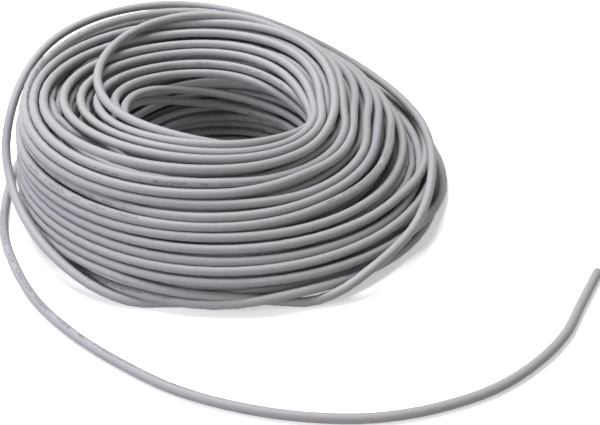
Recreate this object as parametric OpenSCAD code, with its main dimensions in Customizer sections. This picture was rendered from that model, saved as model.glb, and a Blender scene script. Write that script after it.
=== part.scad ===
// Folded control cable: a loose ring of grey round cable lying flat, with one slung turn and a free end.
// Units are millimetres. The floor is z = 0, the ring's foot is centred on the origin, +Z is up.

/* [Cable] */
// Outside diameter of the sheath
cable_d = 4; // [3.6:0.1:4.4]
// Thickness of the sheath at the cut end
sheath_wall = 0.65; // [0.5:0.05:0.8]
// Clearance between the cores, and between them and the sheath
core_gap = 0.045; // [0.02:0.005:0.08]
// Diameter of one bare conductor
conductor_d = 0.5; // [0.3:0.05:0.6]
// Depth of the open bore behind the cut face
bore_depth = 18; // [8:1:20]
// Length of the straight stretch that ends in the cut face
straight_end = 26; // [22:1:30]

/* [Ring] */
// How deep one row of turns sinks into the row below
row_sink = 0.1; // [0.05:0.05:0.3]
// Diameter across the centres of the outermost turns in the bottom row
foot_d = 188; // [170:1:220]
// How far the outermost turns at the widest row stand out beyond the bottom row's
belly_out = 2.5; // [1:0.25:4]
// How far the outermost turns in the top row stand in from the widest row's
crown_in = 28.5; // [24:0.5:30]
// How far the top row leans to the left of the foot
lean_left = 21; // [16:0.5:22]
// How far the top row leans to the back of the foot
lean_back = 3; // [1:0.5:4]
// How far single rows stand in or out of the smooth shape
looseness = 0.5; // [0:0.05:0.6]
// How deep the turns laid on the top row sink into it
crown_sink = 0.7; // [0.4:0.1:1]

/* [Eye] */
// Diameter across the centres of the innermost turns
eye_d = 90; // [84:1:92]
// Width of the bottom row between the centres of its outermost and innermost turns
foot_wall = 58; // [56:1:60]
// How far the eye lies to the left of the foot's centre
eye_left = 5; // [3:0.5:6]
// How far the eye lies to the front of the foot's centre
eye_front = 9; // [6:0.5:10]

/* [Loose runs] */
// How far inside the bottom row's outermost turn a run's straight lead starts
lead_sink = 1.5; // [1:0.25:2]
// How far the lead's far end stands clear of the bottom row
lead_gap = 0.9; // [0.7:0.1:1.5]
// Steps between two points of a loose run
tube_steps = 2; // [1:1:3]

/* [Hidden] */
$fn = 48;
sheath_colour = [0.66, 0.66, 0.69];
core_colours = [[0.9, 0.9, 0.88], [0.36, 0.22, 0.14], [0.2, 0.45, 0.24], [0.86, 0.75, 0.2]];
copper_colour = [0.78, 0.46, 0.29];
edge_r = cable_d / 2;
// How far a cut reaches beyond what it cuts
overcut = edge_r;
sheath_bore_r = edge_r - sheath_wall;
// Radius of one insulated core, of which four fill the bore, and the distance of its centre from the cable's
core_r = ((sheath_bore_r - core_gap) * sqrt(2) - core_gap) / (2 + sqrt(2));
core_offset = sheath_bore_r - core_gap - core_r;
// Number of rows of turns stacked in the ring, and of turns laid on the top row
row_count = 14;
crown_turns = 2;
row_pitch = cable_d - row_sink;
half_row = row_pitch / 2;
// How deep the inside of a row reaches into the row below, which makes the ring one solid
row_key = half_row / 2;
foot_r = foot_d / 2;
belly_r = foot_r + belly_out;
// Shares of the height: where the ring is widest, and where it starts to draw in and lean
belly_share = 0.22;
shoulder_share = 0.15;
// How steeply the ring draws in above the shoulder
shoulder_curve = 1.2;
// Angle that spreads the rows' steps in and out, so that no two rows next to each other match
jog_angle = 137.5;
// Sides of the tube that stands for a loose run
tube_sides = 10;
// Radius of the tube's corners that gives it the same section as a round cable
tube_r = edge_r / sqrt(tube_sides / 2 * sin(360 / tube_sides) / PI);
// Height of a run that lies on the floor, with a little air under the tube's corners
lay_z = tube_r * 1.025;
// A lead's start and end distances from the axis, its length, and the angle it covers
lead_r = foot_r - lead_sink;
lead_end_r = foot_r + cable_d + lead_gap;
lead_length = sqrt(lead_end_r * lead_end_r - lead_r * lead_r);
lead_turn = acos(lead_r / lead_end_r);
// Angle between a lead's end and the next point of its run
run_in_angle = 9;
// Route of the slung turn as angle, clear gap from the ring in cable diameters, and height in rows
slung_points = [
    [-60, 0.4, 1], [-53, 0.25, 2.1], [-45, 0.3, 2.7], [-36, 0.4, 3.2], [-26, 0.5, 3.9], [-14, 0.55, 4.6],
    [-1, 0.55, 5], [12, 0.55, 5.3], [25, 0.5, 6], [36, 0.5, 6.7], [46, 0.6, 7.7], [56, 0.65, 9.2],
    [66, 0.6, 10.8], [76, 0.6, 12], [87, 0.7, 12.9], [99, 0.8, 13.4], [112, 0.9, 13.8], [126, 0.8, 14],
    [140, 0.8, 13.9], [153, 0.75, 13.5], [165, 0.6, 12.7], [175, 0.7, 11.3], [183, 0.95, 9.4],
    [189, 1.05, 7.2], [196, 0.65, 5.1], [204, 0.35, 3.9], [213, 0.25, 3.2], [222, 0.25, 2.5],
    [231, 0.3, 1.6], [240, 0.45, 0.7]];
// Route of the free end on the floor as angle, and distance out from the ring in cable diameters
free_points = [
    [70, 2.22], [83, 3.13], [96, 3.28], [110, 3.33], [125, 3.14], [141, 2.74], [158, 2.57], [176, 2.2],
    [190, 2.28], [205, 3.18], [217, 4.07], [230, 5.65], [243, 7.49], [254, 9.49], [264, 11.94],
    [274, 14.28], [283, 16.44], [291, 18.22], [299, 19.46], [307, 20.32], [314, 20.42], [321, 20.17]];
// Where the straight stretch at the cut end starts, and its bearing
straight_from = [327, 19.5];
straight_bearing = 62;
slung_start_a = slung_points[0][0] - run_in_angle - lead_turn;
slung_stop_a = slung_points[len(slung_points) - 1][0] + run_in_angle + lead_turn;
free_start_a = free_points[0][0] - run_in_angle - lead_turn;

function unit(v) = v / norm(v);
function clip(x) = min(1, max(0, x));
function polar(p) = [p[1] * cos(p[0]), p[1] * sin(p[0]), p[2]];

// Row i of the ring, counted from 0 at the floor: its share of the height, its place and its radii
function share(i) = i / (row_count - 1);
function draw_in(i) = pow(clip((share(i) - shoulder_share) / (1 - shoulder_share)), shoulder_curve);
function row_z(i) = row_pitch * (i + 0.5);
function jog(i) = looseness * sin(i * jog_angle);
function shape_r(i) = foot_r + belly_out * sin(90 * clip(share(i) / belly_share)) - crown_in * draw_in(i);
function row_r(i) = shape_r(i) + jog(i);
function row_x(i) = -lean_left * draw_in(i);
function row_y(i) = lean_back * draw_in(i);
function eye_r(i) = (i == 0 ? foot_r - foot_wall : eye_d / 2) - jog(i + row_count);

// Distance from the axis to the outermost turn of row i at angle a, and the points of the two routes
function edge(a, i) =
    let (ahead = row_x(i) * cos(a) + row_y(i) * sin(a), aside = row_y(i) * cos(a) - row_x(i) * sin(a))
    ahead + sqrt(pow(shape_r(i) + looseness, 2) - pow(aside, 2));
function slung_r(p) = edge(p[0], min(row_count - 1, p[2])) + cable_d * (1 + p[1]);
function slung_point(p) = polar([p[0], slung_r(p), lay_z + row_pitch * p[2]]);
function free_point(p) = polar([p[0], belly_r + cable_d * p[1], lay_z]);

// A lead's start point, and its heading for a run that turns to the left (1) or to the right (-1)
function lead_from(a) = polar([a, lead_r, lay_z]);
function lead_heading(a, way) = [cos(a + way * 90), sin(a + way * 90), 0];
function lead_to(a, way) = lead_from(a) + lead_length * lead_heading(a, way);

// A smooth curve through the points, with the headings at its two ends given
function before(p, k, first) = k > 0 ? p[k - 1] : p[0] - norm(p[1] - p[0]) * first;
function after(p, k, last) = k < len(p) - 2 ? p[k + 2] : p[k + 1] + norm(p[k + 1] - p[k]) * last;
function spline(a, b, c, d, t) =
    0.5 * (2 * b + (c - a) * t + (2 * a - 5 * b + 4 * c - d) * t * t + (3 * b - a - 3 * c + d) * t * t * t);
function smooth_route(p, first, last) = concat(
    [for (k = [0:len(p) - 2]) for (s = [0:tube_steps - 1])
        spline(before(p, k, first), p[k], p[k + 1], after(p, k, last), s / tube_steps)],
    [p[len(p) - 1]]);

// Heading of a route at each of its points
function heading(q, k, first, last) =
    k == 0 ? first : k == len(q) - 1 ? last : unit(q[k + 1] - q[k - 1]);
function ring(c, h) =
    let (side = unit(cross(h, [0, 0, 1])), up = cross(side, h))
    [for (s = [0:tube_sides - 1]) let (a = 360 * (s + 0.5) / tube_sides - 90)
        c + tube_r * (cos(a) * side + sin(a) * up)];

module tube(q, first, last) {
    n = len(q);
    m = tube_sides;
    pts = [for (k = [0:n - 1]) each ring(q[k], heading(q, k, first, last))];
    walls = [for (k = [0:n - 2]) for (s = [0:m - 1]) each [
        [k * m + s, k * m + (s + 1) % m, (k + 1) * m + s],
        [k * m + (s + 1) % m, (k + 1) * m + (s + 1) % m, (k + 1) * m + s]]];
    caps = [[for (s = [m - 1:-1:0]) s], [for (s = [0:m - 1]) (n - 1) * m + s]];
    polyhedron(points = pts, faces = concat(walls, caps));
}

// The bottom row, with its turns side by side on the floor
module foot_row() {
    gaps = floor((row_r(0) - eye_r(0)) / cable_d);
    step = (row_r(0) - eye_r(0)) / gaps;
    translate([0, 0, row_z(0)])
        rotate_extrude()
            intersection() {
                union() {
                    translate([eye_r(0), 0]) square([row_r(0) - eye_r(0), half_row]);
                    for (k = [0:gaps])
                        translate([eye_r(0) + k * step, 0]) circle(r = edge_r);
                }
                translate([0, -half_row]) square([row_r(0) + cable_d, row_pitch]);
            }
}

// A turn laid on the top row, part of the way from the eye to the rim
module crown_turn(k) {
    top = row_count - 1;
    w = k / (crown_turns + 1);
    translate([w * row_x(top) - (1 - w) * eye_left, w * row_y(top) - (1 - w) * eye_front,
               row_count * row_pitch - crown_sink])
        rotate_extrude()
            translate([(1 - w) * eye_r(top) + w * row_r(top), 0])
                circle(r = edge_r);
}

// One of the other rows: a flat disc with a round rim, keyed into the row below
module row_disc(i) {
    translate([row_x(i), row_y(i), row_z(i)])
        rotate_extrude()
            union() {
                intersection() {
                    union() {
                        translate([0, -half_row]) square([row_r(i), row_pitch]);
                        translate([row_r(i), 0]) circle(r = edge_r);
                    }
                    translate([0, -half_row]) square([row_r(i) + cable_d, row_pitch]);
                }
                translate([0, -half_row - row_key]) square([row_r(i) - cable_d, half_row]);
            }
}

// The hole in a row, whose edge leaves the row's innermost turn round
module row_eye(i) {
    translate([-eye_left, -eye_front, row_z(i)])
        rotate_extrude()
            union() {
                difference() {
                    translate([0, -half_row]) square([eye_r(i), row_pitch]);
                    translate([eye_r(i), 0]) circle(r = edge_r);
                }
                translate([0, -half_row - row_key]) square([eye_r(i) + cable_d, row_key]);
            }
}

module row(i) {
    difference() {
        row_disc(i);
        row_eye(i);
    }
}

module lead(a, way) {
    translate(lead_from(a))
        rotate([0, 90, a + way * 90])
            cylinder(r = edge_r, h = lead_length);
}

module coil() {
    color(sheath_colour)
        union() {
            foot_row();
            for (i = [1:row_count - 1]) row(i);
            for (k = [1:crown_turns]) crown_turn(k);
            lead(slung_start_a, 1);
            lead(slung_stop_a, -1);
            lead(free_start_a, 1);
        }
}

module slung_turn() {
    from = lead_to(slung_start_a, 1);
    to = lead_to(slung_stop_a, -1);
    first = lead_heading(slung_start_a, 1);
    last = -lead_heading(slung_stop_a, -1);
    points = concat([from], [for (p = slung_points) slung_point(p)], [to]);
    color(sheath_colour)
        tube(smooth_route(points, first, last), first, last);
}

function straight_heading() = [cos(straight_bearing), sin(straight_bearing), 0];

module at_cut_face(back) {
    translate(free_point(straight_from) + (straight_end - back) * straight_heading())
        rotate([0, 90, straight_bearing])
            children();
}

module free_end() {
    first = lead_heading(free_start_a, 1);
    last = straight_heading();
    points = concat([lead_to(free_start_a, 1)], [for (p = free_points) free_point(p)],
                    [free_point(straight_from)]);
    color(sheath_colour)
        tube(smooth_route(points, first, last), first, last);
}

module cut_end() {
    color(sheath_colour)
        difference() {
            at_cut_face(straight_end) cylinder(r = edge_r, h = straight_end);
            at_cut_face(bore_depth) cylinder(r = sheath_bore_r, h = bore_depth + overcut);
        }
}

module core(k) {
    color(core_colours[k - 1])
        at_cut_face(bore_depth)
            rotate([0, 0, 90 * k + 45])
                translate([core_offset, 0, 0])
                    difference() {
                        cylinder(r = core_r, h = bore_depth);
                        translate([0, 0, -overcut]) cylinder(d = conductor_d, h = bore_depth + 2 * overcut);
                    }
}

module conductor(k) {
    color(copper_colour)
        at_cut_face(bore_depth)
            rotate([0, 0, 90 * k + 45])
                translate([core_offset, 0, 0])
                    cylinder(d = conductor_d, h = bore_depth);
}

module core_1() { core(1); }
module core_2() { core(2); }
module core_3() { core(3); }
module core_4() { core(4); }
module conductor_1() { conductor(1); }
module conductor_2() { conductor(2); }
module conductor_3() { conductor(3); }
module conductor_4() { conductor(4); }

coil();
slung_turn();
free_end();
cut_end();
core_1();
core_2();
core_3();
core_4();
conductor_1();
conductor_2();
conductor_3();
conductor_4();
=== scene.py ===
"""Looks of the folded control cable: one length of grey cable wound into a loose ring on the floor."""

import math

import bpy
import numpy as np
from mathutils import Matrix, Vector


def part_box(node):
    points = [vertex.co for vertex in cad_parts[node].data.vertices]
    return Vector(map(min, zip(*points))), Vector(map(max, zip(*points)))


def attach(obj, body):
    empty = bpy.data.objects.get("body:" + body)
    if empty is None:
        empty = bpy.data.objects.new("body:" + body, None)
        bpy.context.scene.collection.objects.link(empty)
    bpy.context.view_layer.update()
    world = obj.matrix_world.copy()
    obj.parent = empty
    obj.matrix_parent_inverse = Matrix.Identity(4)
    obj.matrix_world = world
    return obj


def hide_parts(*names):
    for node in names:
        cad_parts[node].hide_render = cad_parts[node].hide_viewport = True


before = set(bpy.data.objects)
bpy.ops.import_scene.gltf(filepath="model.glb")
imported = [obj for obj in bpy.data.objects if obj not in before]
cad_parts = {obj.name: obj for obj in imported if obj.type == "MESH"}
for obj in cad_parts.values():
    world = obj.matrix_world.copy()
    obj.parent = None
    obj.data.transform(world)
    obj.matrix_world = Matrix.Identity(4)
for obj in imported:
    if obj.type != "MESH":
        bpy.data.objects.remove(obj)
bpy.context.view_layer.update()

# Sizes in metres, taken from the frame
END_LOW, END_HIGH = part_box("cut_end")
CABLE_D = END_HIGH.z - END_LOW.z
CABLE_R = CABLE_D / 2
LAY_Z = (END_LOW.z + END_HIGH.z) / 2

# The ring's shape, as in the part's source
ROWS = 14
TOP_ROW = ROWS - 1
ROW_PITCH = 0.0039
FOOT_R = 0.094
BELLY_R = 0.0965
CROWN_R = 0.068
LEAN_LEFT = 0.021
LEAN_BACK = 0.003
LOOSENESS = 0.0005
EYE_R = 0.045
FOOT_EYE_R = 0.036
EYE_LEFT = 0.005
EYE_FRONT = 0.009
BELLY_SHARE = 0.22
SHOULDER_SHARE = 0.15
SHOULDER_CURVE = 1.2

# How the soft ring departs from that shape
# Its slump to one side, as a share of its height
SLUMP = 0.17
SLUMP_ANGLE = math.radians(-35)
SLUMP_CURVE = 1.2
# The crown's lip over the front of the eye, and the share of the height where it starts
LIP = 0.006
LIP_SHARE = 0.75
# Its bulge towards the slung turn, which is full above a share of the height
BULGE = 0.0038
BULGE_ANGLE = math.radians(150)
BULGE_SPREAD = 1.3
BULGE_SHARE = 0.4
# The crown's fall towards the back of the eye
CROWN_FALL = 0.016

# How the turns are laid
SEED = 3
SLICES = 64
START_ANGLE = -120
FIRST_ROW_Z = 0.00205
# How far the hidden turns keep under the skin, and how tightly they fill their rows
SKIN_DEPTH = 0.0050
FILL = 1.07
# The row above which the turns of the skin cover the eye's wall, and the rows over which others make room
WALL_ROW = 5
WALL_RISE = 2
# Share of a row's width that the hidden turns leave open beside the eye, by row
EYE_GAPS = {5: 0.3, 8: 0.35, 9: 0.4, 10: 0.3, 11: 0.45, 12: 0.55}

# How unevenly the turns lie, and the slices over which that changes
# Hidden turns up and down, in rows
LEVEL_WANDER = 0.2
LEVEL_SPREAD = SLICES / 7
# Hidden turns in and out
RADIUS_WANDER = 0.0012
RADIUS_SPREAD = SLICES / 6
# Hidden turns within a share of the row's width from the eye, which only draw back from it
EYE_WANDER = 0.0035
EYE_SPREAD = SLICES / 5
EYE_TURNS_SHARE = 0.02
# Turns of the skin, in places
PLACE_WANDER = 0.12
PLACE_SPREAD = SLICES / 7

# How the turns push each other apart
RELAX_ROUNDS = 260
# Rounds between two searches for near turns, and how near they are in cable diameters
SEARCH_ROUNDS = 8
NEAR = 1.7
# How strongly an overlap pushes in a round, and how far many overlaps at one point soften that
PUSH = 1.5
CROWDING = 0.6
# Slices over which a push spreads, and the pull back to the plan, each after the share of the rounds that
# it lasts to
STIFFNESS = [(0.5, 3.5), (0.8, 2.6), (1, 1.8)]
HOME_PULL = [(0.6, 0.03), (1, 0.01)]
# How much each round evens out kinks, and over how many slices
EVEN_SHARE = 0.15
EVEN_SPREAD = 1.5
# How far turns of the skin may leave their plan upwards and outwards, and any turn may reach into the eye
SKIN_PLAY = 0.0015
EYE_PLAY = 0.001
# Where the last turn starts to bend to the loose run, in turns before its end, and over how much of a turn
JOIN_FROM = 0.55
JOIN_OVER = 0.5
# Keeps a distance from being zero
TINY = 1e-9
# Laps in which the loose run may pass a slice, and the distance that stands for one where it doesn't
LOOSE_LAPS = 3
FAR_AWAY = 9.0
# Steps round the ring when a row is measured
ROUND_STEPS = 73

# Places along the skin of the ring, from the eye's rim (0) over the crown and down to the floor; those
# below 0 lie down the eye's wall
SKIN_PLACES = 20
# Points that trace the skin at one angle: down the outside, across the crown and along the eye's wall
OUTSIDE_STEPS = 40
CROWN_STEPS = 16
WALL_STEPS = 20
# The row where the trace of the eye's wall starts, and how far to each side the skin's slope is taken
WALL_FOOT_ROW = 1.5
SLOPE_REACH = 0.004
# The turns that show, from the eye's wall over the crown to the floor: angle, place, and depth under the
# skin in cable diameters
SKIN_TURNS = [
    [(-120, -5, 0), (-60, -5, 0), (-30, -5.5, 0), (0, -6, 0), (40, -5, 0), (90, -3.7, 0),
     (140, -2.3, 0), (180, -0.5, 0)],
    [(-120, -3.8, 0), (-60, -3.8, 0), (-30, -4.4, 0), (0, -4.8, 0), (40, -3.8, 0), (90, -2.4, 0),
     (140, -1, 0), (180, 0.8, 0)],
    [(-120, -2.5, 0), (-60, -2.6, 0), (-30, -3.2, 0), (0, -3.6, 0), (40, -2, 0), (90, 0.2, 0),
     (140, 0.5, 0), (180, 2.2, 0)],
    [(-120, -1, 0), (-90, -0.6, 0.9), (-60, 0.6, 1.2), (-30, 1.6, 1.2), (0, 3.4, 1), (35, 6.2, 0.8),
     (62, 7.4, -0.3), (90, 7.4, -0.9), (115, 8, -1), (132, 7.8, -1), (155, 5, -1), (180, 2.8, -0.9)],
    [(-120, 0.3, 0), (-90, -0.1, 0), (-60, -0.5, 0), (-30, -1.4, 0), (0, -2.2, 0), (40, -0.6, 0),
     (90, 1.4, 0), (140, 2, 0), (180, 3.8, 0)],
    [(-120, 1.4, 0), (-90, 0.9, 0), (-60, 0.7, 0), (-30, 0, 0), (0, -1, 0), (40, 0.6, 0), (90, 2.7, 0),
     (140, 3.5, 0), (180, 5.4, 0)],
    [(-120, 2.6, 0), (-90, 2.1, 0), (-60, 2.1, 0), (-30, 1.5, 0), (0, 0.3, 0), (40, 2.1, 0), (90, 4.1, 0),
     (140, 5, 0), (180, 7, 0)],
    [(-120, 4.1, 0), (-90, 3.3, 0), (-60, 3.4, 0), (-30, 2.9, 0), (0, 1.7, 0), (40, 3.6, 0), (90, 5.4, -0.1),
     (140, 6.5, 0), (180, 8.5, 0)],
    [(-120, 6.4, 0), (-90, 4.9, 0), (-60, 4.7, 0), (-30, 4.2, 0), (0, 3.2, 0), (40, 5.2, 0), (90, 6.7, -0.4),
     (140, 8, -0.5), (180, 10, -0.1)],
    [(-120, 8.2, 0.1), (-98, 6.7, 0.5), (-70, 6, 0.8), (-30, 5.7, 0.6), (0, 4.7, 0.1), (40, 6.8, 0),
     (85, 8, -0.4), (105, 8.2, -1.1), (122, 8.5, -1.6), (140, 9, -1.7), (161, 9.3, -1.2), (180, 10.6, -0.9)],
    [(-120, 9.2, 0), (-90, 7.4, 0), (-60, 6.9, 0), (-30, 6.9, 0), (0, 6.3, 0), (40, 8.4, -0.3),
     (90, 9.6, -0.4), (140, 10.1, -0.6), (161, 10.5, -0.6), (180, 11.6, -0.7)],
    [(-120, 10.2, 0.1), (-90, 8.6, 0.7), (-60, 8.3, 0.8), (-30, 8.4, 0.4), (0, 8, -0.1), (40, 9.8, -0.7),
     (90, 10.7, 0), (140, 11.2, -0.5), (180, 12.5, -0.7)],
    [(-120, 10.9, 0.9), (-107, 11, 0.3), (-90, 10.2, 0), (-60, 10, 0), (-30, 10, 0), (0, 9.8, -0.1),
     (40, 11.3, -0.9), (90, 11.8, 0), (140, 12, -0.3), (180, 13.3, -0.7)],
    [(-120, 12.1, 0), (-90, 11.2, 0), (-60, 11, 0), (-30, 11.4, 0), (0, 11.6, 0), (40, 12.8, -0.5),
     (90, 12.9, 0), (140, 13, 0), (180, 14.1, -0.5)],
    [(-120, 13.1, 0), (-90, 12.2, 0), (-60, 12.5, 0), (-30, 13.2, 0.4), (0, 13.6, 0.6), (40, 14.3, 0.3),
     (90, 14, 0), (140, 14, 0), (180, 15, 0)],
    [(-120, 14, 0), (-90, 13.4, 0), (-60, 13.4, 0), (-30, 14.6, 0), (-8, 16, -0.5), (15, 17, -1),
     (40, 16.6, -0.6), (90, 15.1, 0), (140, 15, 0), (180, 15.7, 0)],
    [(-120, 14.8, 0.2), (-90, 14.6, 0.7), (-60, 14.5, 0.9), (-30, 15.4, 0.7), (0, 15.6, 0.8),
     (40, 15.8, 0.4), (90, 16.2, 0), (140, 16, 0), (180, 16.5, 0)],
    [(-120, 15.7, 0), (-90, 15.7, 0), (-60, 15.6, 0), (-30, 16.3, 0), (0, 17.2, -0.2), (40, 17.6, 0),
     (90, 17.3, 0), (140, 17, 0), (180, 17.3, 0)],
    [(-120, 16.9, 0), (-90, 16.9, 0.2), (-60, 16.8, 0.5), (-30, 17.6, 0.3), (-5, 19.5, -0.8),
     (25, 19, -1.6), (50, 19, -0.8), (90, 18.4, 0), (140, 18.3, 0), (180, 18.9, 0)],
    [(-120, 19.6, -0.2), (-90, 19, 0), (-60, 19, 0.2), (-40, 19.6, -0.3), (-15, 20, -1), (10, 20, -1.3),
     (35, 20, -1.2), (60, 19, 0.2), (120, 19.3, 0), (180, 18.8, 0)]]

# Loose run as angle, distance from the axis and height, where it leaves the winding and goes under it
SLUNG_START = [
    (-120, 0.0965, 0.0115), (-112, 0.0962, 0.0105), (-104, 0.0958, 0.0092), (-97, 0.0953, 0.0082),
    (-90, 0.0950, 0.0072), (-82, 0.0953, 0.0055), (-75, 0.0966, 0.0035), (-69, 0.0989, 0.0023)]
SLUNG_END = [
    (249, 0.0989, 0.0021), (256, 0.0953, 0.0021), (263, 0.0932, 0.0021), (270, 0.0925, 0.0021),
    (281, 0.0905, 0.0021), (295, 0.0896, 0.0021), (315, 0.0892, 0.0021), (335, 0.0890, 0.0021),
    (355, 0.0890, 0.0021), (375, 0.0895, 0.0021), (388, 0.0908, 0.0021), (400, 0.0925, 0.0021),
    (411, 0.0944, 0.0021), (421, 0.0989, 0.0021)]
# The slung turn as in the part's source: angle, clear gap from the ring in cable diameters, height in rows
SLUNG_POINTS = [
    (-60, 0.4, 1), (-53, 0.25, 2.1), (-45, 0.3, 2.7), (-36, 0.4, 3.2), (-26, 0.5, 3.9), (-14, 0.55, 4.6),
    (-1, 0.55, 5), (12, 0.55, 5.3), (25, 0.5, 6), (36, 0.5, 6.7), (46, 0.6, 7.7), (56, 0.65, 9.2),
    (66, 0.6, 10.8), (76, 0.6, 12), (87, 0.7, 12.9), (99, 0.8, 13.4), (112, 0.9, 13.8), (126, 0.8, 14),
    (140, 0.8, 13.9), (153, 0.75, 13.5), (165, 0.6, 12.7), (175, 0.7, 11.3), (183, 0.95, 9.4),
    (189, 1.05, 7.2), (196, 0.65, 5.1), (204, 0.35, 3.9), (213, 0.25, 3.2), (222, 0.25, 2.5),
    (231, 0.3, 1.6), (240, 0.45, 0.7)]
# The free end as angle and distance out from the ring in cable diameters, as in the part's source
FREE_POINTS = [
    (70, 2.22), (83, 3.13), (96, 3.28), (110, 3.33), (125, 3.14), (141, 2.74), (158, 2.57), (176, 2.2),
    (190, 2.28), (205, 3.18), (217, 4.07), (230, 5.65), (243, 7.49), (254, 9.49), (264, 11.94), (274, 14.28),
    (283, 16.44), (291, 18.22), (299, 19.46), (307, 20.32), (314, 20.42), (321, 20.17)]
# The straight stretch at the cut end, and the bore behind the cut face, as in the part's source
STRAIGHT_FROM = (327, 19.5)
STRAIGHT_BEARING = 62
STRAIGHT_END = 0.026
BORE_R = 0.00135
BORE_DEPTH = 0.018

# Mesh fineness: sides of the tube, step along the loose run, slices from one drawn slice of a hidden turn
# to the next, and the angle from which an edge is sharp
SIDES = 20
LOOSE_STEP = 0.006
HIDDEN_STEP = 2
SHARP_ANGLE = math.radians(40)

# Marks printed along the sheath
# Length over which their line goes once round the cable, how much it strays and over how many slices
PRINT_TURN = 1.7
PRINT_WANDER = 1.2
PRINT_SPREAD = SLICES / 2
# Half their height in cable radii, the rows of dots in that, and the lengths of a dot, a mark and a stretch
PRINT_HEIGHT = 0.36
PRINT_LINES = 1.5
PRINT_DOT = 0.0006
PRINT_MARK = 0.0045
PRINT_STRETCH = 0.075
# Shares of the dots, marks and stretches that stay bare
BARE_DOTS = 0.45
BARE_MARKS = 0.25
BARE_STRETCHES = 0.4
# Where in the noise the marks and the stretches are drawn from, so that they don't match
MARK_SHIFT = 0.5
STRETCH_SHIFT = 700.5
# How strongly the ink covers the sheath
PRINT_INK = 0.48
INK_COLOUR = (0.05, 0.05, 0.055)

# The sheath's finish: two tones and how fast they change along it, shine, and a fine grain
SHEATH_COOL = (0.275, 0.27, 0.30)
SHEATH_WARM = (0.29, 0.28, 0.275)
TONE_PACE = 1.1
SHEATH_ROUGHNESS = 0.55
SHEATH_SPECULAR = 0.35
GRAIN_SCALE = 900
GRAIN_STRENGTH = 0.06
GRAIN_DEPTH = 0.001

# The cores and their conductors
CORE_COLOURS = {1: (0.8, 0.8, 0.77), 2: (0.09, 0.04, 0.02), 3: (0.04, 0.17, 0.06), 4: (0.72, 0.52, 0.05)}
CORE_ROUGHNESS = 0.45
COPPER_COLOUR = (0.8, 0.38, 0.22)
COPPER_ROUGHNESS = 0.35

# The stage: strength of the soft light from above and from level, and the floor
LIGHT_ABOVE = 0.20
LIGHT_LEVEL = 0.06
LIGHT_AIM = (0, 0, 0.02)
FLOOR_HALF = 6.0
FLOOR_COLOUR = (0.9, 0.9, 0.9)
FLOOR_ROUGHNESS = 0.9
# The floor's colour for light that it throws back on the object
FLOOR_BOUNCE = (0.3, 0.3, 0.3)
# The floor's glow near the object, and the distances between which it rises to white
FLOOR_GLOW = 0.4
GLOW_FROM = 0.3
GLOW_TO = 1.2

# The camera, fitted to the photo
CAMERA_PLACE = (0.032, -0.4576, 0.3028)
CAMERA_DOWN = 35.0
CAMERA_LENS = 69.0
CAMERA_NEAR = 0.01


# The ring's outline

def clip(x):
    return np.clip(x, 0.0, 1.0)


def ramp(share, start):
    return clip((share - start) / (1 - start))


def from_axis(angle, x, y, radius):
    """Distance from the axis to a circle round (x, y)."""
    ahead = x * np.cos(angle) + y * np.sin(angle)
    aside = y * np.cos(angle) - x * np.sin(angle)
    return ahead + np.sqrt(radius**2 - aside**2)


def edge_radius(angle, row):
    """Distance from the axis to the outermost turn's centre, as in the part's source."""
    share = row / TOP_ROW
    draw_in = ramp(share, SHOULDER_SHARE) ** SHOULDER_CURVE
    radius = (FOOT_R + (BELLY_R - FOOT_R) * np.sin(0.5 * np.pi * clip(share / BELLY_SHARE))
              - (BELLY_R - CROWN_R) * draw_in)
    return from_axis(angle, -LEAN_LEFT * draw_in, LEAN_BACK * draw_in, radius)


def outer_radius(angle, row):
    """Distance from the axis to the outermost turn's centre on the soft ring."""
    bulge = clip(np.cos(BULGE_SPREAD * np.angle(np.exp(1j * (angle - BULGE_ANGLE)))))
    return edge_radius(angle, row) + BULGE * bulge * clip(row / TOP_ROW / BULGE_SHARE)


def inner_radius(angle, row):
    """Distance from the axis to the innermost turn's centre."""
    above_foot = clip(row)
    lip = LIP * ramp(row / TOP_ROW, LIP_SHARE)
    radius = FOOT_EYE_R + (EYE_R - FOOT_EYE_R) * above_foot - lip
    return from_axis(angle, -EYE_LEFT * above_foot, lip - EYE_FRONT * above_foot, radius)


def row_height(angle):
    """Height of one row, which is less where the ring slumps."""
    return ROW_PITCH * (1 - SLUMP * clip(np.cos(angle - SLUMP_ANGLE)) ** SLUMP_CURVE)


def row_z(angle, row):
    return FIRST_ROW_Z + row_height(angle) * row


def row_of(angle, z):
    return np.clip((z - FIRST_ROW_Z) / row_height(angle), 0, TOP_ROW)


def crown_z(angle, share):
    """Height of the crown's turns, from the eye's rim (0) to the outer edge (1)."""
    return row_z(angle, TOP_ROW) - CROWN_FALL * (0.5 + 0.5 * np.sin(angle)) * (1 - share)


def skin_line(angle):
    """The ring's skin at one angle as distances and heights, with the length along it from the eye's rim."""
    rim, edge = inner_radius(angle, TOP_ROW), outer_radius(angle, TOP_ROW)
    wall = np.linspace(WALL_FOOT_ROW, row_of(angle, crown_z(angle, 0)), WALL_STEPS)[:-1]
    across = np.linspace(0, 1, CROWN_STEPS)[:-1]
    rows = np.linspace(TOP_ROW, 0, OUTSIDE_STEPS)
    r = np.concatenate([inner_radius(angle, wall), rim + across * (edge - rim), outer_radius(angle, rows)])
    z = np.concatenate([row_z(angle, wall), crown_z(angle, across), row_z(angle, rows)])
    along = np.concatenate([[0], np.cumsum(np.hypot(np.diff(r), np.diff(z)))])
    return r, z, along - along[len(wall)]


def skin_points(angle, place, depth):
    """Points under the skin of the ring as distance from the axis and height."""
    found = []
    for a, p, d in zip(angle, place, depth):
        r, z, along = skin_line(a)
        at = along[-1] * p / SKIN_PLACES + np.array([-SLOPE_REACH, 0, SLOPE_REACH])
        spot = np.stack([np.interp(at, along, r), np.interp(at, along, z)], 1)
        run = spot[2] - spot[0]
        found.append(spot[1] + d * np.array([run[1], -run[0]]) / np.hypot(*run))
    return np.array(found)


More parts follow.
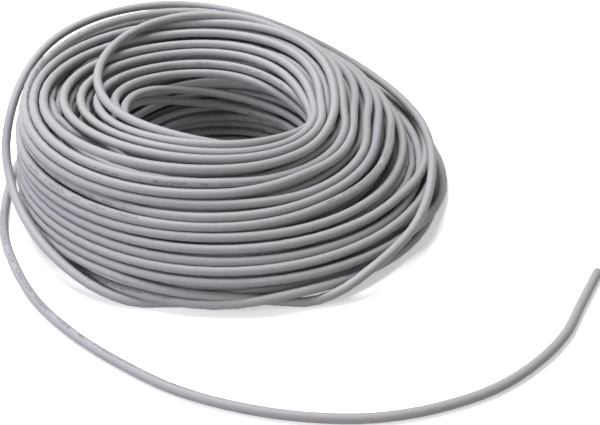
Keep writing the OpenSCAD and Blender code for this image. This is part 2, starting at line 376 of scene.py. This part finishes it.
# Smooth curves and noise

def through(at, keys, where):
    """A smooth curve through keys, which lie at the rising places at."""
    at = np.asarray(at, float)
    keys = np.asarray(keys, float)
    slope = np.gradient(keys, at, axis=0)
    k = np.clip(np.searchsorted(at, where, side="right") - 1, 0, len(at) - 2)
    gap = (at[k + 1] - at[k])[:, None]
    t = (where - at[k])[:, None] / gap
    return ((1 + 2 * t) * (1 - t) ** 2 * keys[k] + t * (1 - t) ** 2 * gap * slope[k]
            + t**2 * (3 - 2 * t) * keys[k + 1] + t**2 * (t - 1) * gap * slope[k + 1])


def smooth(values, spread):
    """values averaged along the first axis with a bell-shaped weight."""
    reach = int(np.ceil(3 * spread))
    steps = np.arange(-reach, reach + 1)
    weights = np.exp(-0.5 * (steps / spread) ** 2)
    weights /= weights.sum()
    padded = np.pad(values, ((reach, reach), (0, 0)), mode="edge")
    return sum(w * padded[i:i + len(values)] for i, w in enumerate(weights))


def wander(count, rng, spread):
    """Slow noise along the cable, with a spread of one."""
    noise = smooth(rng.standard_normal((count, 1)), spread)[:, 0]
    return noise / noise.std()


def length_along(path):
    """Length along a path up to each of its points."""
    return np.concatenate([[0], np.cumsum(np.linalg.norm(np.diff(path, axis=0), axis=1))])


# The loose run from the winding to the cut face

def polar_point(angle, radius, z):
    return (radius * math.cos(math.radians(angle)), radius * math.sin(math.radians(angle)), z)


def slung_point(angle, gap, row):
    edge = edge_radius(math.radians(angle), min(TOP_ROW, row)) + LOOSENESS
    return polar_point(angle, edge + CABLE_D * (1 + gap), LAY_Z + ROW_PITCH * row)


def free_point(angle, out):
    return polar_point(angle, BELLY_R + CABLE_D * out, LAY_Z)


def loose_path():
    """The slung turn and the free end as one smooth run of points."""
    points = [polar_point(*p) for p in SLUNG_START]
    points += [slung_point(*p) for p in SLUNG_POINTS]
    points += [polar_point(*p) for p in SLUNG_END]
    points += [free_point(*p) for p in FREE_POINTS]
    start = free_point(*STRAIGHT_FROM)
    bearing = math.radians(STRAIGHT_BEARING)
    for reach in (0, STRAIGHT_END / 2, STRAIGHT_END):
        points.append((start[0] + reach * math.cos(bearing), start[1] + reach * math.sin(bearing), LAY_Z))
    points = np.array(points)
    at = length_along(points)
    return through(at, points, np.linspace(0, at[-1], int(at[-1] / LOOSE_STEP)))


# The winding as planned

def cover(row):
    """How far the hidden turns keep from the outer edge, which is more where the free end runs below."""
    return SKIN_DEPTH + CABLE_D * clip(1 - row)


def planned_rows():
    """Place across the ring and row of each turn in the stacked rows under the skin."""
    around = np.linspace(0, 2 * np.pi, ROUND_STEPS)
    turns = []
    for row in range(TOP_ROW):
        width = (outer_radius(around, row) - cover(row) - inner_radius(around, row)).min()
        gap = EYE_GAPS.get(row, 0)
        places = np.linspace(gap, 1, max(2, int(FILL * (1 - gap) * width / CABLE_D) + 1))
        turns += [(place, row) for place in (places[::-1] if row % 2 else places)]
    return turns


def hidden_plan(turns, angle, rng):
    """Where each point of the hidden turns wants to lie, as distance from the axis and height."""
    count = len(angle)
    along = np.arange(count) / SLICES
    keys = through(np.arange(len(turns)) + 0.5, turns, np.clip(along, 0.5, len(turns) - 0.5))
    place, row = clip(keys[:, 0]), keys[:, 1]
    level = np.clip(row + wander(count, rng, LEVEL_SPREAD) * LEVEL_WANDER, 0, TOP_ROW - 1)
    inner = inner_radius(angle, level) + SKIN_DEPTH * clip((level - WALL_ROW) / WALL_RISE)
    outer = outer_radius(angle, level) - cover(level)
    beside_eye = place < EYE_TURNS_SHARE
    shy = EYE_WANDER * np.clip(wander(count, rng, EYE_SPREAD), 0, 2) * beside_eye
    r = inner + place * (outer - inner) + RADIUS_WANDER * wander(count, rng, RADIUS_SPREAD) + shy
    z = np.minimum(row_z(angle, level), crown_z(angle, place) - ROW_PITCH)
    return np.stack([r, z], 1)


def skin_plan(angle, rng):
    """Where each point of the turns that show wants to lie, as distance from the axis and height."""
    keys = np.array([(at + 360 * k, place, depth)
                     for k, turn in enumerate(SKIN_TURNS) for at, place, depth in turn])
    around = np.degrees(angle) + 360 * (np.arange(len(angle)) // SLICES)
    place, depth = through(keys[:, 0], keys[:, 1:], np.clip(around, None, keys[-1, 0])).T
    place = place + PLACE_WANDER * wander(len(place), rng, PLACE_SPREAD)
    return skin_points(np.radians(around), np.minimum(place, SKIN_PLACES), depth * CABLE_D)


def obstacles(path, angles):
    """Where the loose run passes each slice, as distance and height, far away where it doesn't."""
    run = np.unwrap(np.arctan2(path[:, 1], path[:, 0]))
    passes = []
    for lap in range(LOOSE_LAPS):
        a = angles + 2 * np.pi * lap
        hit = (a >= run[0]) & (a <= run[-1])
        r = np.where(hit, np.interp(a, run, np.hypot(path[:, 0], path[:, 1])), FAR_AWAY)
        passes.append(np.stack([r, np.interp(a, run, path[:, 2])], 1))
    return np.array(passes)


# The winding as it settles

def at_stage(stages, progress):
    """The value that holds at this share of the rounds."""
    return next(value for until, value in stages if progress < until)


def near_pairs(everything, count):
    """Pairs of turns that lie near each other, and the slices where they do; the loose run comes last."""
    apart = ((everything[:, None] - everything[None]) ** 2).sum(-1)
    first, second, at = np.nonzero(apart < (NEAR * CABLE_D) ** 2)
    keep = (first < second) & (first < count)
    return first[keep], second[keep], at[keep]


def pushes(everything, pairs, count):
    """How far what it overlaps pushes each point of the winding, and the overlaps; the loose run stays."""
    first, second, at = pairs
    gap = everything[first, at] - everything[second, at]
    distance = np.sqrt((gap**2).sum(-1)) + TINY
    overlap = np.maximum(0, CABLE_D - distance)
    push = gap * (overlap / distance)[:, None]
    give = np.where(second >= count, 1.0, 0.5)[:, None]
    moved = np.zeros_like(everything)
    touched = np.zeros(everything.shape[:2])
    np.add.at(moved, (first, at), push * give)
    np.add.at(moved, (second, at), -0.5 * push)
    np.add.at(touched, (first, at), overlap > 0)
    np.add.at(touched, (second, at), overlap > 0)
    return moved[:count] / np.maximum(1, CROWDING * touched[:count])[..., None], overlap


def kept_inside(spot, home, angle, under, reach):
    """Points brought halfway back where they leave the ring; hidden turns stay under the skin."""
    r, z = spot.T
    rim, edge = inner_radius(angle, TOP_ROW), outer_radius(angle, TOP_ROW)
    share = clip((r - rim) / (edge - rim))
    ceiling = np.where(under, crown_z(angle, share) - ROW_PITCH, home[:, 1] + SKIN_PLAY)
    z = np.where(z > ceiling, (z + ceiling) / 2, z)
    z = np.maximum(z, CABLE_R)
    level = row_of(angle, z)
    low = inner_radius(angle, level) - EYE_PLAY
    high = outer_radius(angle, level) + np.where(under, -cover(level), reach + SKIN_PLAY)
    r = np.where(r < low, (r + low) / 2, r)
    r = np.where(r > high, (r + high) / 2, r)
    return np.stack([r, z], 1)


def winding(path):
    """The wound turns' centreline, after the turns have pushed each other apart."""
    rng = np.random.default_rng(SEED)
    turns = planned_rows()
    count = len(turns) + len(SKIN_TURNS)
    total = count * SLICES
    under = np.arange(total) < len(turns) * SLICES
    angles = math.radians(START_ANGLE) + 2 * np.pi * np.arange(SLICES) / SLICES
    angle = np.tile(angles, count)
    hidden = hidden_plan(turns, angle[under], rng)
    spot = np.concatenate([hidden, skin_plan(angle[~under], rng)])

    fixed = obstacles(path, angles)
    last = np.array([np.hypot(path[0, 0], path[0, 1]), path[0, 2]])
    held = clip((np.arange(total) / SLICES - (count - JOIN_FROM)) / JOIN_OVER)
    held = (held * held * (3 - 2 * held))[:, None]
    spot = spot + held * (last - spot[-1])
    home = spot.copy()
    reach = np.maximum(0, home[:, 0] - outer_radius(angle, row_of(angle, home[:, 1])))

    for k in range(RELAX_ROUNDS):
        progress = k / RELAX_ROUNDS
        everything = np.concatenate([spot.reshape(count, SLICES, 2), fixed])
        if k % SEARCH_ROUNDS == 0:
            pairs = near_pairs(everything, count)
        step, overlap = pushes(everything, pairs, count)
        spot = spot + PUSH * smooth(step.reshape(total, 2), at_stage(STIFFNESS, progress)) * (1 - held)
        spot = spot + at_stage(HOME_PULL, progress) * (home - spot)
        spot = spot + EVEN_SHARE * (smooth(spot, EVEN_SPREAD) - spot)
        spot = kept_inside(spot, home, angle, under, reach)
    result = (count, 1000 * overlap.max(), 1000 * overlap.mean())
    print("turns %d overlap left %.2f mm, mean %.4f mm" % result)
    drawn = ~under | (np.arange(total) % HIDDEN_STEP == 0)
    return np.stack([spot[:, 0] * np.cos(angle), spot[:, 0] * np.sin(angle), spot[:, 1]], 1)[drawn]


# Mesh of the cable

def tube_rings(path, turn):
    """Rings of points round the path, and two more for the open bore at its far end."""
    heading = np.gradient(path, axis=0)
    heading /= np.linalg.norm(heading, axis=1)[:, None]
    side = np.cross(heading, [0.0, 0.0, 1.0])
    side /= np.linalg.norm(side, axis=1)[:, None]
    up = np.cross(side, heading)
    spokes = np.cos(turn)[None, :, None] * side[:, None] + np.sin(turn)[None, :, None] * up[:, None]
    bore = path[-1] + BORE_R * spokes[-1]
    return np.concatenate([path[:, None] + CABLE_R * spokes, [bore, bore - BORE_DEPTH * heading[-1]]])


def tube_faces(count):
    """Faces between the rings, and one that closes each end."""
    base = SIDES * np.arange(count - 1)[:, None]
    a = np.arange(SIDES)
    b = (a + 1) % SIDES
    faces = np.stack([base + a, base + b, base + SIDES + b, base + SIDES + a], -1).reshape(-1, 4).tolist()
    faces.append(list(range(SIDES - 1, -1, -1)))
    faces.append(list(range((count - 1) * SIDES, count * SIDES)))
    return faces


def print_places(path, turn, count):
    """Each point's place along the cable, and across and over the line that the marks follow."""
    along = length_along(path)
    along = np.concatenate([along, along[-1:], along[-1:]])
    rng = np.random.default_rng(SEED)
    line = 2 * np.pi * along / PRINT_TURN + PRINT_WANDER * wander(count, rng, PRINT_SPREAD)
    return {"along": np.repeat(along, SIDES),
            "print_side": np.sin(turn[None] - line[:, None]).ravel(),
            "print_face": np.cos(turn[None] - line[:, None]).ravel()}


def cable_mesh(path):
    """A tube round the path with an open bore at its far end; each point knows its place along and around."""
    turn = 2 * np.pi * np.arange(SIDES) / SIDES
    rings = tube_rings(path, turn)
    mesh = bpy.data.meshes.new("cable")
    mesh.from_pydata(rings.reshape(-1, 3).tolist(), [], tube_faces(len(rings)))
    mesh.validate()
    mesh.shade_smooth()
    mesh.set_sharp_from_angle(angle=SHARP_ANGLE)
    for name, values in print_places(path, turn, len(rings)).items():
        mesh.attributes.new(name, "FLOAT", "POINT").data.foreach_set("value", values.astype(np.float32))
    return mesh


loose = loose_path()
path = np.concatenate([winding(loose), loose])
cable = bpy.data.objects.new("cable", cable_mesh(path))
bpy.context.scene.collection.objects.link(cable)
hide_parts("coil", "slung_turn", "free_end", "cut_end")
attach(cable, "root")


# Shader nodes

def attribute(tree, name):
    node = tree.nodes.new("ShaderNodeAttribute")
    node.attribute_name = name
    return node.outputs["Fac"]


def math_node(tree, operation, first, second=0):
    """The result of an operation on numbers or other nodes' outputs."""
    node = tree.nodes.new("ShaderNodeMath")
    node.operation = operation
    for socket, value in zip(node.inputs, (first, second)):
        if isinstance(value, (int, float)):
            socket.default_value = value
        else:
            tree.links.new(value, socket)
    return node.outputs["Value"]


def mix_colours(tree, share, first, second):
    """A colour between two colours or other nodes' outputs."""
    node = tree.nodes.new("ShaderNodeMix")
    node.data_type = "RGBA"
    tree.links.new(share, node.inputs["Factor"])
    for socket, value in ((node.inputs["A"], first), (node.inputs["B"], second)):
        if isinstance(value, tuple):
            socket.default_value = (*value, 1)
        else:
            tree.links.new(value, socket)
    return node.outputs["Result"]


def seen_rays(tree):
    """One for rays that show the background: straight from the camera, mirrored or passed through."""
    rays = tree.nodes.new("ShaderNodeLightPath")
    seen = rays.outputs["Is Camera Ray"]
    for name in ("Is Glossy Ray", "Is Transmission Ray"):
        seen = math_node(tree, "MAXIMUM", seen, rays.outputs[name])
    return seen


# Materials

def plain_material(name, colour, roughness, metallic=0.0):
    material = bpy.data.materials.new(name)
    material.use_nodes = True
    shader = material.node_tree.nodes["Principled BSDF"]
    shader.inputs["Base Color"].default_value = (*colour, 1)
    shader.inputs["Roughness"].default_value = roughness
    shader.inputs["Metallic"].default_value = metallic
    return material


def sheath_tone(tree, along):
    """Grey that changes slowly along the cable."""
    slow = tree.nodes.new("ShaderNodeTexNoise")
    slow.noise_dimensions = "1D"
    tree.links.new(math_node(tree, "MULTIPLY", along, TONE_PACE), slow.inputs["W"])
    return mix_colours(tree, slow.outputs["Fac"], SHEATH_COOL, SHEATH_WARM)


def cell(tree, along, size):
    """The number of the stretch of a size in metres that a point lies in."""
    return math_node(tree, "FLOOR", math_node(tree, "DIVIDE", along, size))


def random_stretches(tree, along, size, shift):
    """A random value for each stretch of the cable of a size in metres."""
    noise = tree.nodes.new("ShaderNodeTexWhiteNoise")
    noise.noise_dimensions = "1D"
    tree.links.new(math_node(tree, "ADD", cell(tree, along, size), shift), noise.inputs["W"])
    return noise.outputs["Value"]


def random_dots(tree, along, side):
    """A random value for each dot of the print."""
    dots = tree.nodes.new("ShaderNodeTexWhiteNoise")
    dots.noise_dimensions = "2D"
    spot = tree.nodes.new("ShaderNodeCombineXYZ")
    line = math_node(tree, "FLOOR", math_node(tree, "MULTIPLY", side, PRINT_LINES / PRINT_HEIGHT))
    tree.links.new(cell(tree, along, PRINT_DOT), spot.inputs["X"])
    tree.links.new(line, spot.inputs["Y"])
    tree.links.new(spot.outputs["Vector"], dots.inputs["Vector"])
    return dots.outputs["Value"]


def print_marks(tree, along):
    """One where the faint marks are, which have no letters, and zero elsewhere."""
    side, face = attribute(tree, "print_side"), attribute(tree, "print_face")
    marks = random_stretches(tree, along, PRINT_MARK, MARK_SHIFT)
    stretches = random_stretches(tree, along, PRINT_STRETCH, STRETCH_SHIFT)
    inked = math_node(tree, "GREATER_THAN", random_dots(tree, along, side), BARE_DOTS)
    for shown in (math_node(tree, "LESS_THAN", math_node(tree, "ABSOLUTE", side), PRINT_HEIGHT),
                  math_node(tree, "GREATER_THAN", face, 0),
                  math_node(tree, "GREATER_THAN", marks, BARE_MARKS),
                  math_node(tree, "GREATER_THAN", stretches, BARE_STRETCHES)):
        inked = math_node(tree, "MULTIPLY", inked, shown)
    return inked


def add_grain(tree, shader):
    """A fine unevenness of the surface."""
    grain = tree.nodes.new("ShaderNodeTexNoise")
    grain.inputs["Scale"].default_value = GRAIN_SCALE
    place = tree.nodes.new("ShaderNodeTexCoord")
    bump = tree.nodes.new("ShaderNodeBump")
    bump.inputs["Strength"].default_value = GRAIN_STRENGTH
    bump.inputs["Distance"].default_value = GRAIN_DEPTH
    tree.links.new(place.outputs["Object"], grain.inputs["Vector"])
    tree.links.new(grain.outputs["Fac"], bump.inputs["Height"])
    tree.links.new(bump.outputs["Normal"], shader.inputs["Normal"])


def sheath_material():
    """Soft grey plastic with a slow change of tone along it and faint marks printed on one side."""
    material = plain_material("sheath", SHEATH_COOL, SHEATH_ROUGHNESS)
    tree = material.node_tree
    shader = tree.nodes["Principled BSDF"]
    shader.inputs["Specular IOR Level"].default_value = SHEATH_SPECULAR
    along = attribute(tree, "along")
    ink = math_node(tree, "MULTIPLY", print_marks(tree, along), PRINT_INK)
    tree.links.new(mix_colours(tree, ink, sheath_tone(tree, along), INK_COLOUR), shader.inputs["Base Color"])
    add_grain(tree, shader)
    return material


cable.data.materials.append(sheath_material())
copper = plain_material("copper", COPPER_COLOUR, COPPER_ROUGHNESS, metallic=1.0)
for k, colour in CORE_COLOURS.items():
    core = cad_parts["core_%d" % k]
    core.data.materials.clear()
    core.data.materials.append(plain_material("core_%d" % k, colour, CORE_ROUGHNESS))
    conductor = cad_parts["conductor_%d" % k]
    conductor.data.materials.clear()
    conductor.data.materials.append(copper)


# Stage

def area_light(name, place, size, power, colour):
    light = bpy.data.lights.new(name, "AREA")
    light.shape = "DISK"
    light.size = size
    light.energy = power
    light.color = colour
    lamp = bpy.data.objects.new(name, light)
    lamp.location = place
    lamp.rotation_mode = "QUATERNION"
    lamp.rotation_quaternion = (Vector(LIGHT_AIM) - Vector(place)).to_track_quat("-Z", "Y")
    bpy.context.scene.collection.objects.link(lamp)
    return lamp


def white_surroundings():
    """A world that looks white to the camera and lights the object softly, from above more than level."""
    world = bpy.data.worlds.new("studio")
    bpy.context.scene.world = world
    world.use_nodes = True
    tree = world.node_tree
    nodes, links = tree.nodes, tree.links
    nodes.clear()
    out = nodes.new("ShaderNodeOutputWorld")
    mix = nodes.new("ShaderNodeMixShader")
    soft = nodes.new("ShaderNodeBackground")
    place = nodes.new("ShaderNodeTexCoord")
    split = nodes.new("ShaderNodeSeparateXYZ")
    shade = nodes.new("ShaderNodeMapRange")
    shade.inputs["To Min"].default_value = LIGHT_LEVEL
    shade.inputs["To Max"].default_value = LIGHT_ABOVE
    links.new(place.outputs["Generated"], split.inputs["Vector"])
    links.new(split.outputs["Z"], shade.inputs["Value"])
    links.new(shade.outputs["Result"], soft.inputs["Strength"])
    white = nodes.new("ShaderNodeBackground")
    white.inputs["Strength"].default_value = 1.0
    links.new(seen_rays(tree), mix.inputs["Fac"])
    links.new(soft.outputs["Background"], mix.inputs[1])
    links.new(white.outputs["Background"], mix.inputs[2])
    links.new(mix.outputs["Shader"], out.inputs["Surface"])


def floor_glow(tree):
    """The floor's glow, which rises to white far from the object."""
    place = tree.nodes.new("ShaderNodeTexCoord")
    away = tree.nodes.new("ShaderNodeVectorMath")
    away.operation = "LENGTH"
    tree.links.new(place.outputs["Object"], away.inputs[0])
    rise = tree.nodes.new("ShaderNodeMapRange")
    rise.inputs["From Min"].default_value = GLOW_FROM
    rise.inputs["From Max"].default_value = GLOW_TO
    rise.inputs["To Min"].default_value = FLOOR_GLOW
    rise.inputs["To Max"].default_value = 1.0
    tree.links.new(away.outputs["Value"], rise.inputs["Value"])
    return rise.outputs["Result"]


def floor_material():
    """A pale floor that keeps the shadow, throws little light back and glows where it is seen."""
    material = plain_material("floor", FLOOR_COLOUR, FLOOR_ROUGHNESS)
    tree = material.node_tree
    shader = tree.nodes["Principled BSDF"]
    seen = seen_rays(tree)
    tree.links.new(mix_colours(tree, seen, FLOOR_BOUNCE, FLOOR_COLOUR), shader.inputs["Base Color"])
    shader.inputs["Emission Color"].default_value = (1, 1, 1, 1)
    glow = math_node(tree, "MULTIPLY", seen, floor_glow(tree))
    tree.links.new(glow, shader.inputs["Emission Strength"])
    return material


def floor_sheet():
    mesh = bpy.data.meshes.new("floor")
    w = FLOOR_HALF
    mesh.from_pydata([(-w, -w, 0), (w, -w, 0), (w, w, 0), (-w, w, 0)], [], [(0, 1, 2, 3)])
    mesh.materials.append(floor_material())
    sheet = bpy.data.objects.new("floor", mesh)
    bpy.context.scene.collection.objects.link(sheet)


white_surroundings()
floor_sheet()
top = area_light("top", place=(-0.25, 0.3, 1.0), size=0.7, power=19.5, colour=(0.99, 0.99, 1.0))
left = area_light("left", place=(-1.0, -0.7, 0.5), size=0.6, power=12, colour=(0.92, 0.92, 1.0))
right = area_light("right", place=(0.9, -0.9, 0.4), size=0.7, power=3.5, colour=(1.0, 0.95, 0.9))

camera = bpy.data.objects.new("camera", bpy.data.cameras.new("camera"))
camera.location = CAMERA_PLACE
camera.rotation_euler = (math.radians(90 - CAMERA_DOWN), 0, 0)
camera.data.lens = CAMERA_LENS
camera.data.clip_start = CAMERA_NEAR
bpy.context.scene.collection.objects.link(camera)
bpy.context.scene.camera = camera
bpy.context.scene.view_settings.view_transform = "Standard"
